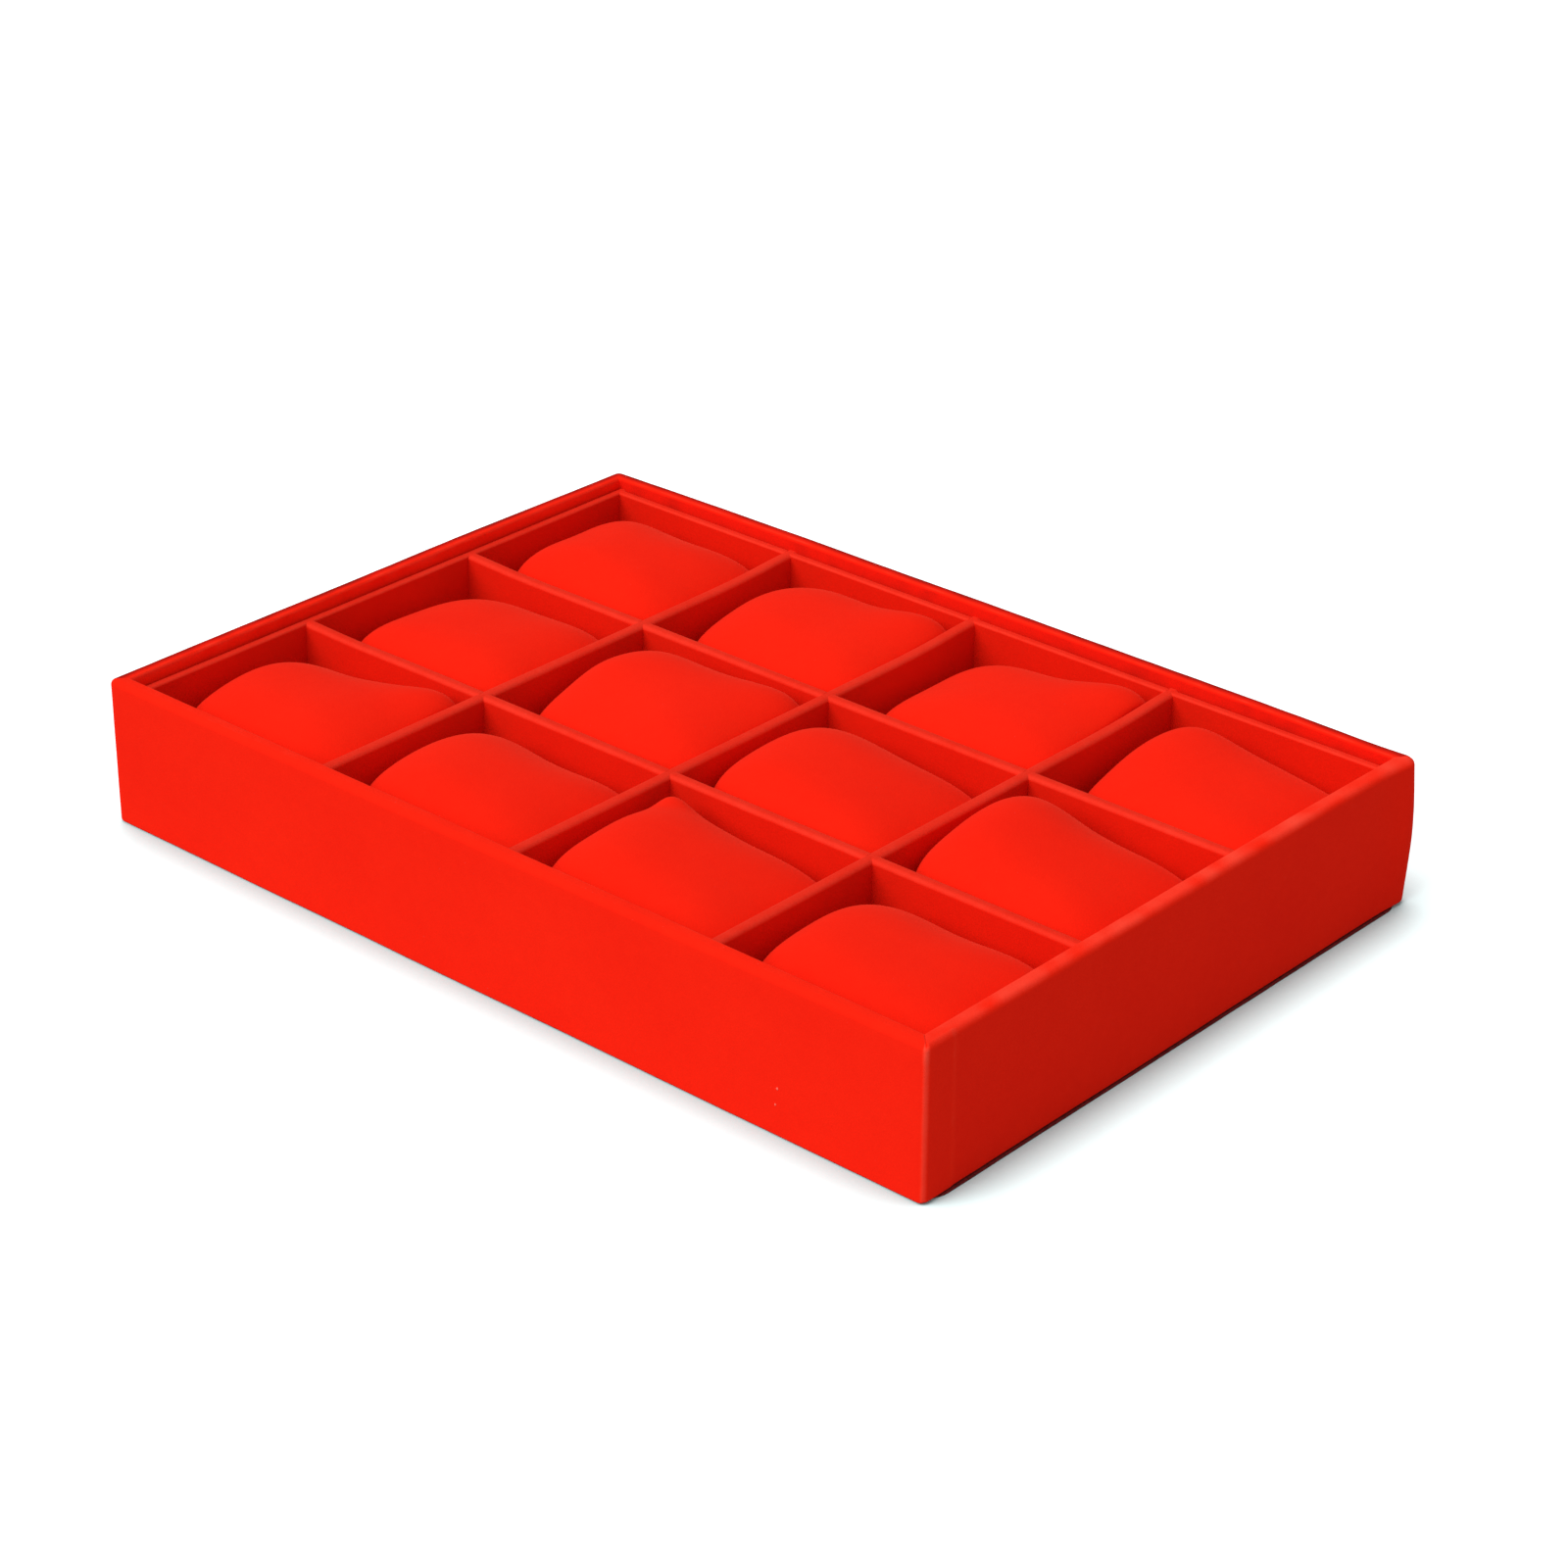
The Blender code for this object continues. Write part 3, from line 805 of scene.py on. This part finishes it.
def sewn_case(low, high):
    """Even mesh of a pillow before it is stuffed: a soft block with drawn-in sides."""
    bm = bmesh.new()
    bmesh.ops.create_cube(bm, size=2)
    bmesh.ops.subdivide_edges(bm, edges=bm.edges, cuts=PILLOW_CUTS, use_grid_fill=True)
    middle = (low + high) / 2
    half = (high - low) / 2
    plan, rounding = PILLOW_PLAN_ROUNDING, PILLOW_ROUNDING
    for vert in bm.verts:
        spot = Vector([math.tan(math.pi / 4 * share) for share in vert.co])
        reach = (abs(spot.x) ** plan + abs(spot.y) ** plan) ** (rounding / plan)
        spot /= (reach + abs(spot.z) ** rounding) ** (1 / rounding)
        vert.co = middle + spot * half
        drawn = Vector((spot.x * (1 - spot.y ** 2), spot.y * (1 - spot.x ** 2), 0))
        dent = noise.noise(vert.co * PILLOW_DENT_SCALE)
        vert.co += PILLOW_DENT * dent * spot - PILLOW_WAIST * (1 - spot.z ** 2) * drawn
    return bm


def stuff(piece):
    """Swells a case from inside with air pressure, and limits how far each point may move."""
    flat = points_of(piece.data)
    cloth = piece.modifiers.new("stuffing", "CLOTH")
    cloth.settings.use_pressure = True
    cloth.settings.uniform_pressure_force = PILLOW_PRESSURE
    cloth.settings.effector_weights.gravity = 0
    cloth.settings.quality = 5
    cloth.point_cache.frame_start = 1
    cloth.point_cache.frame_end = PILLOW_FRAMES
    for step in range(1, PILLOW_FRAMES + 1):
        scene.frame_set(step)
    mesh = baked(piece)
    moved = points_of(mesh) - flat
    far = np.linalg.norm(moved, axis=1, keepdims=True)
    moved *= np.minimum(1, PILLOW_MOST / np.maximum(far, 1e-9))
    mesh.vertices.foreach_set("co", (flat + moved).ravel())
    scene.frame_set(1)


def lay(mesh, low, high, lie):
    """Shifts a pillow, lifts its corners and pulls at places on its top, least at its foot."""
    points = points_of(mesh)
    middle = np.array((low + high) / 2)
    half = np.array((high - low) / 2)
    across, along, up = np.clip((points - middle) / half, -1.05, 1.05).T
    rise = ((up + 1) / 2) ** 2
    for (side, end), lift in zip(((-1, -1), (1, -1), (1, 1), (-1, 1)), lie.corners):
        points[:, 2] += MILLIMETRE * lift * rise * (1 + side * across) / 2 * (1 + end * along) / 2
    for place, way, reach in lie.pulls:
        away = ((across - place[0]) ** 2 + (along - place[1]) ** 2) / reach ** 2 + (1 - up) ** 2
        points += MILLIMETRE * np.exp(-away)[:, None] * np.array(way)
    points[:, :2] += MILLIMETRE * np.array(lie.shift)
    mesh.vertices.foreach_set("co", points.ravel())


def press_in(mesh, low, high):
    """Keeps a pillow off the strips and the lining round its cell."""
    points = points_of(mesh)
    points[:, 2] = np.maximum(points[:, 2], low.z)
    points[:, :2] = np.clip(points[:, :2], np.array(low.xy) + PILLOW_CLEARANCE,
                            np.array(high.xy) - PILLOW_CLEARANCE)
    mesh.vertices.foreach_set("co", points.ravel())


pillow_velvet = velvet("pillow_velvet", mottle=0.6, sheen=0.36)
cells_x = [(boxes[a][1].x, boxes[b][0].x) for a, b in zip(across, across[1:])]
cells_y = [(boxes[a][1].y, boxes[b][0].y) for a, b in zip(along, along[1:])]
for row, (front, back) in zip(("front", "middle", "back"), cells_y):
    for column, (left, right) in enumerate(cells_x, start=1):
        node = f"pillow_{row}_{column}"
        low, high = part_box(node)
        low.xy -= PILLOW_FULLER.xy
        high += PILLOW_FULLER + Vector((PILLOW_PRESSED, 0, 0))
        piece = add_piece(f"{node}_case", sewn_case(low, high), pillow_velvet)
        stuff(piece)
        lay(piece.data, low, high, LIES[f"{row}_{column}"])
        press_in(piece.data, Vector((left, front, low.z)), Vector((right, back, high.z)))
        settle(piece.data)
        piece.modifiers.new("fine", "SUBSURF").render_levels = 1
        mesh = baked(piece)
        mesh.shade_smooth()
        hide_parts(node)
        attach(piece, "root")


# Lint
# Two specks of pale fluff that cling to the pile low on the front wall. Each is a tiny ball
# with a ruffled surface.
LINT_PLACES = ((0.1199, 0.0165), (0.1192, 0.0109))
LINT_SIZE = Vector((0.0004, 0.0002, 0.0005))
LINT_RUFFLE = 0.00015
LINT_RUFFLE_SCALE = 3000
LINT_HAIR = 2500
LINT_PALE = (0.95, 0.22, 0.16, 1)
LINT_RED = (0.95, 0.06, 0.04, 1)

fluff, tree, shader = new_finish("pale_fluff", Roughness=1.0, Specular_IOR_Level=0.0)
place = add_node(tree, "ShaderNodeTexCoord").outputs["Object"]
hairs = noise_of(tree, place, LINT_HAIR, detail=3)
tree.links.new(ramp(tree, hairs, [(0.35, LINT_RED), (0.65, LINT_PALE)]),
               shader.inputs["Base Color"])
bm = bmesh.new()
for x, z in LINT_PLACES:
    place = Matrix.Translation((x, cover_low.y, z)) @ Matrix.Diagonal((*LINT_SIZE, 1))
    bmesh.ops.create_icosphere(bm, subdivisions=2, radius=1, matrix=place)
for vert in bm.verts:
    vert.co += LINT_RUFFLE * Vector(noise.noise_vector(vert.co * LINT_RUFFLE_SCALE))
lint = add_piece("lint_specks", bm, fluff)
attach(lint, "root")


# Floor and backdrop
# A plain white sweep, exposed so brightly that only the tray's own shadow on it isn't white:
# the key's soft shadow, and a narrow one where the tray keeps the sky off the ground beside it.
# The tray itself sees it as a mid grey, so that little light comes back from below.
FLOOR_SIZE = 12
FLOOR_BOUNCE = (0.55, 0.55, 0.55, 1)

# Its white holds less red than blue, because the light off the tray's side adds red to it
FLOOR_WHITE = (0.60, 0.85, 0.85, 1)

# The glow that stands for the sky's light on open ground, how near the tray dims it, and the
# shares of open sky between which it grows
OPEN_GLOW = 0.70
OPEN_REACH = 0.030
HALF_SHUT = 0.5
FULLY_OPEN = 0.9

ground, tree, shader = new_finish("white_sweep", Base_Color=FLOOR_BOUNCE, Roughness=1.0,
                                  Specular_IOR_Level=0.0)
white = add_node(tree, "ShaderNodeBsdfDiffuse", {"Color": FLOOR_WHITE})
openness = add_node(tree, "ShaderNodeAmbientOcclusion", {"Distance": OPEN_REACH})
level = add_node(tree, "ShaderNodeMapRange",
                 {"Value": openness.outputs["AO"], "From Min": HALF_SHUT,
                  "From Max": FULLY_OPEN, "To Max": OPEN_GLOW})
glow = add_node(tree, "ShaderNodeEmission", {"Strength": level.outputs["Result"]})
bright = add_node(tree, "ShaderNodeAddShader")
tree.links.new(white.outputs[0], bright.inputs[0])
tree.links.new(glow.outputs[0], bright.inputs[1])
path = add_node(tree, "ShaderNodeLightPath").outputs["Is Camera Ray"]
seen = add_node(tree, "ShaderNodeMixShader", {0: path})
tree.links.new(shader.outputs[0], seen.inputs[1])
tree.links.new(bright.outputs[0], seen.inputs[2])
tree.links.new(seen.outputs[0], tree.nodes["Material Output"].inputs["Surface"])
bm = bmesh.new()
bmesh.ops.create_grid(bm, x_segments=1, y_segments=1, size=FLOOR_SIZE / 2)
floor = add_piece("white_floor", bm, ground)


# Light
# One very soft key from the front left, at about the height of a window, and an even grey dome
# round the tray. The camera sees the dome as white.
KEY_FROM = Vector((-0.22, -0.58, 0.64))
KEY_STRENGTH = 2.3
KEY_SPREAD = 50
DOME_LEVEL = 0.50

key = bpy.data.lights.new("soft_key", "SUN")
key.energy = KEY_STRENGTH
key.angle = math.radians(KEY_SPREAD)
lamp = bpy.data.objects.new("soft_key", key)
lamp.rotation_mode = "QUATERNION"
lamp.rotation_quaternion = KEY_FROM.to_track_quat("Z", "Y")
scene.collection.objects.link(lamp)

scene.world = bpy.data.worlds.new("dome")
scene.world.use_nodes = True
tree = scene.world.node_tree
tree.nodes.clear()
dome = add_node(tree, "ShaderNodeBackground", {"Color": (1, 1, 1, 1), "Strength": DOME_LEVEL})
white = add_node(tree, "ShaderNodeBackground", {"Color": (1, 1, 1, 1), "Strength": 1.0})
path = add_node(tree, "ShaderNodeLightPath").outputs["Is Camera Ray"]
mixed = add_node(tree, "ShaderNodeMixShader", {0: path})
tree.links.new(dome.outputs[0], mixed.inputs[1])
tree.links.new(white.outputs[0], mixed.inputs[2])
add_node(tree, "ShaderNodeOutputWorld", {"Surface": mixed.outputs[0]})


# Camera
# A long lens that looks down at the front right corner, as in the photograph. Its angles and
# place were fitted to the edges of the tray.
YAW = math.radians(41.560)
PITCH = math.radians(27.127)
ROLL = math.radians(0.293)
LENS = 90.39
DISTANCE = 1.2928
AIM_RIGHT = 0.01096
AIM_UP = 0.02489

back = Vector((math.sin(YAW) * math.cos(PITCH), -math.cos(YAW) * math.cos(PITCH),
               math.sin(PITCH)))
right = Vector((math.cos(YAW), math.sin(YAW), 0))
up = back.cross(right)
place = AIM_RIGHT * right + AIM_UP * up + DISTANCE * back
turned = Matrix((right, up, back)).transposed() @ Matrix.Rotation(ROLL, 3, "Z")
camera = bpy.data.objects.new("camera", bpy.data.cameras.new("camera"))
camera.data.sensor_width = 36
camera.data.lens = LENS
camera.data.clip_end = 50
camera.matrix_world = Matrix.Translation(place) @ turned.to_4x4()
scene.collection.objects.link(camera)
scene.camera = camera
scene.view_settings.view_transform = "Standard"
